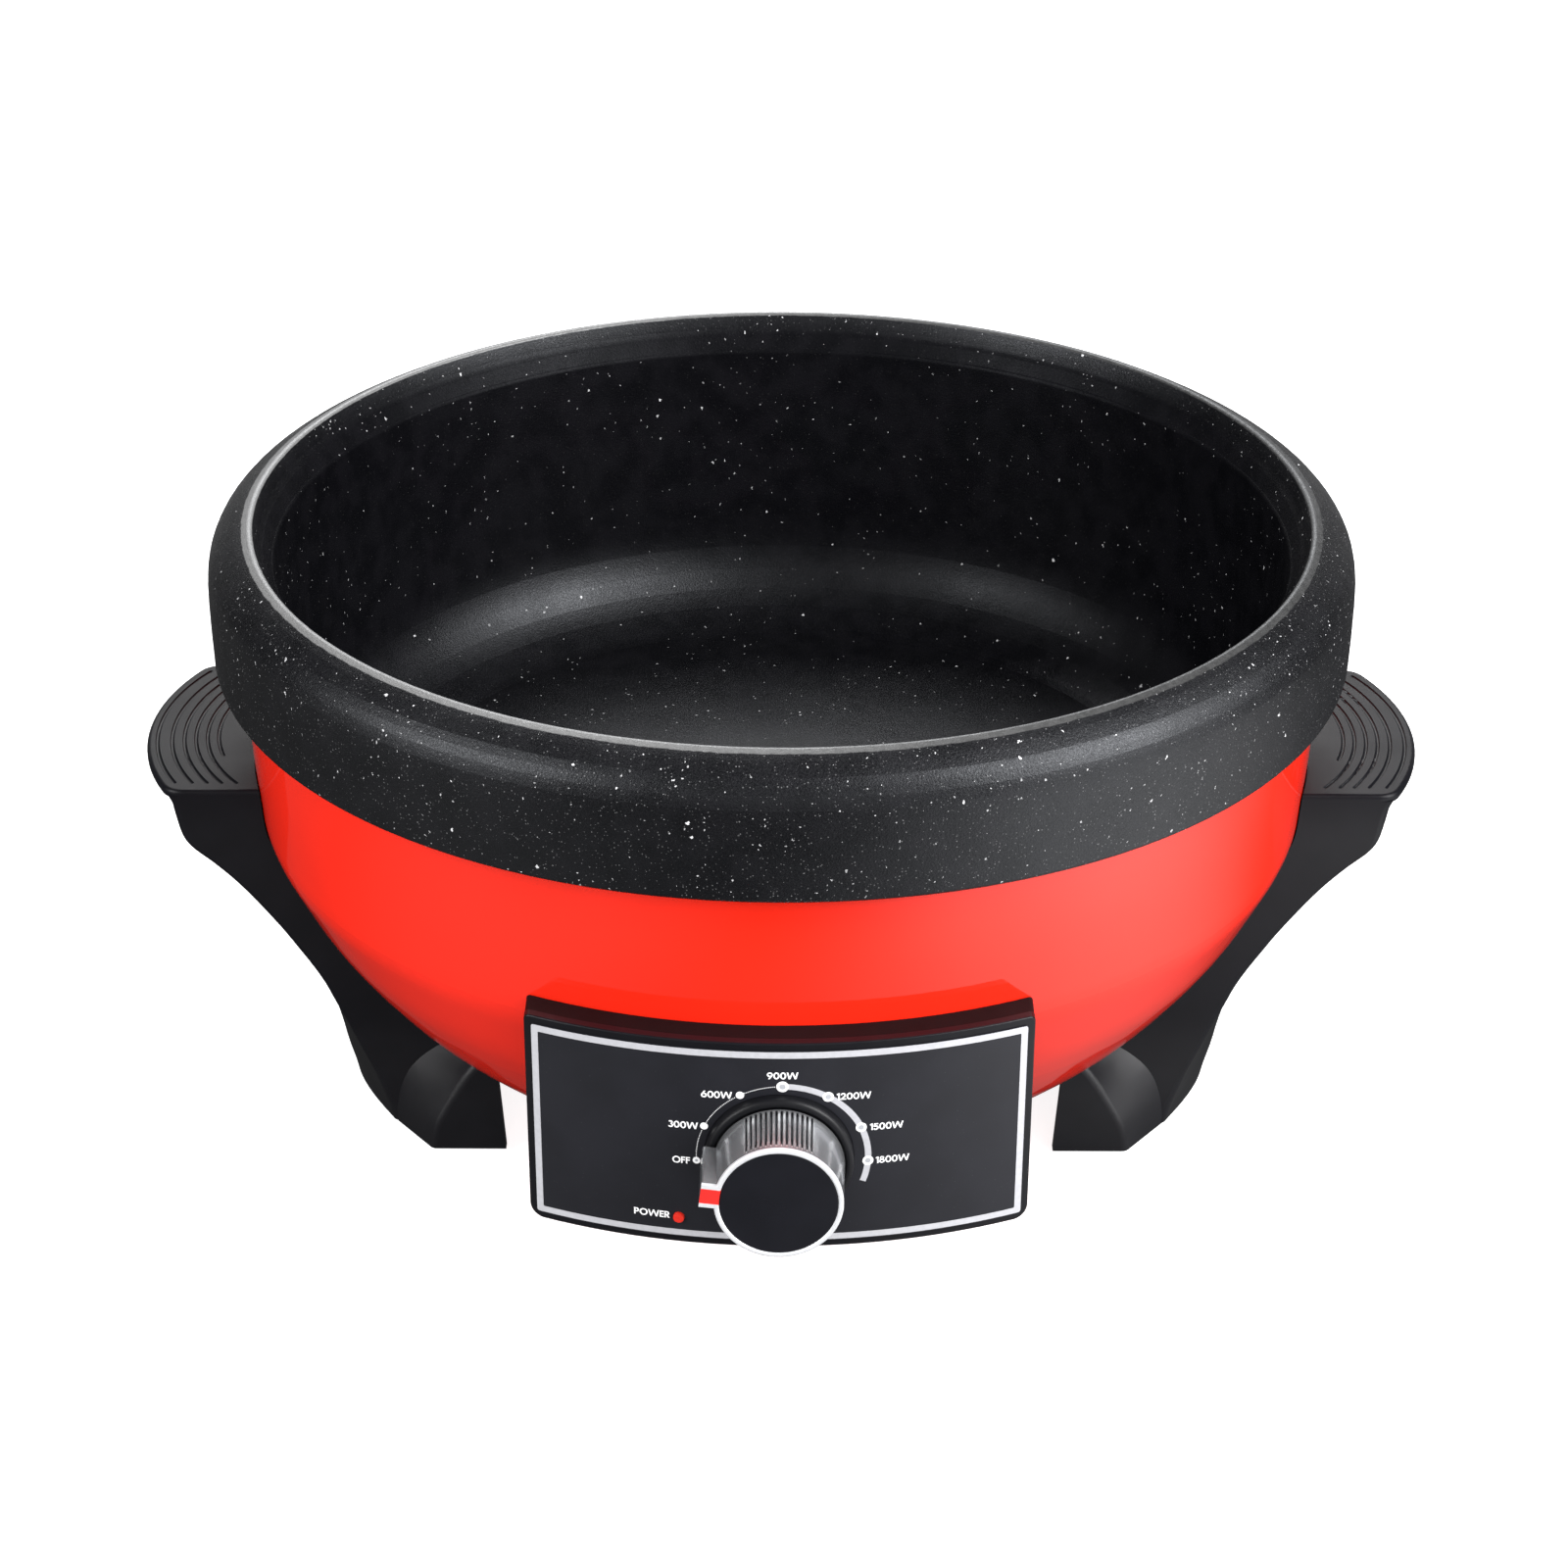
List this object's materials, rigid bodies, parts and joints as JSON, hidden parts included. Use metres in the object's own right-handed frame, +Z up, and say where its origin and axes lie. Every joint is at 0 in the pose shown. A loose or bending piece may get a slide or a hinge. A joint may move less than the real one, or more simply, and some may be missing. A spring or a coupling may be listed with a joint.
{
  "type": "electric hot pot",
  "caption": "Tabletop electric hot pot: lift-out non-stick pan in a painted bowl on side mouldings that are both handles and legs, with a curved front panel and a power dial.",
  "frame": {"origin": "on the floor under the pan's axis, midway between the four rubber feet", "axes": "+Z up, -Y towards the control panel, +X towards the right-hand handle as seen from the front"},
  "size_m": [0.3766, 0.351, 0.1881],
  "materials": {
    "pan_coating": "speckled non-stick coating, satin",
    "red_paint": "gloss enamel",
    "black_plastic": "fine satin",
    "panel_film": "printed film, fine texture",
    "black_gloss": "semi-gloss",
    "knob_silver": "silver lacquer",
    "bright_ring": "bright",
    "red_mark": "gloss",
    "red_lens": "clear tinted",
    "liner_steel": "bright pressed sheet",
    "element_sheath": "annealed, dark",
    "bracket_steel": "zinc plated",
    "screw_steel": "plated",
    "ceramic": "glazed ceramic",
    "dark_moulding": "phenolic",
    "pale_moulding": "nylon",
    "cap_aluminium": "spun",
    "foot_rubber": "matte",
    "lamp_glass": "clear",
    "brass_plated": "nickel plated",
    "wire_cover": "silicone sleeve",
    "earth_cover": "silicone sleeve"
  },
  "bodies": {
    "base": {"outer_shell": "red_paint", "left_leg_handle": "black_plastic", "right_leg_handle": "black_plastic", "control_housing": "black_plastic", "control_fascia": "black_plastic", "fascia_overlay": "panel_film", "dial_collar": "black_gloss", "indicator_lens": "red_lens", "heat_liner": "liner_steel", "heating_element": "element_sheath", "element_supports": "bracket_steel", "support_rivets": "bracket_steel", "element_insulators": "ceramic", "element_pins": "bracket_steel", "thermal_cutout": "dark_moulding", "cutout_cap": "cap_aluminium", "cutout_bracket": "bracket_steel", "bracket_rivets": "bracket_steel", "liner_spacers": "bracket_steel", "liner_screws": "screw_steel", "base_cover": "bracket_steel", "base_screws": "screw_steel", "rubber_feet": "foot_rubber", "leg_screws": "screw_steel", "housing_screws": "screw_steel", "power_regulator": "dark_moulding", "regulator_screws": "screw_steel", "indicator_lamp": "lamp_glass", "inlet_housing": "black_plastic", "inlet_body": "black_gloss", "inlet_pins": "brass_plated", "inlet_screws": "screw_steel", "inlet_housing_screws": "screw_steel", "terminal_block": "pale_moulding", "block_bracket": "bracket_steel", "mains_wires": "wire_cover", "control_wires": "wire_cover", "element_wires": "wire_cover", "lamp_wires": "wire_cover", "earth_wire": "earth_cover", "earth_stud": "brass_plated", "earth_tag": "brass_plated"},
    "pan": {"cooking_pan": "pan_coating"},
    "dial": {"knob_body": "knob_silver", "knob_ring": "bright_ring", "knob_cap": "black_gloss", "knob_pointer": "knob_silver", "pointer_stripe": "red_mark", "regulator_spindle": "screw_steel"}
  },
  "joints": [
    {"name": "pan_lift", "type": "slide", "parent": "base", "child": "pan", "axis": [0, 0, 1], "range_m": [0, 0.12]},
    {"name": "dial_turn", "type": "hinge", "parent": "base", "child": "dial", "pos_m": [0, -0.176, 0.073], "axis": [0, 1, 0], "range_deg": [-11, 192]}
  ]
}
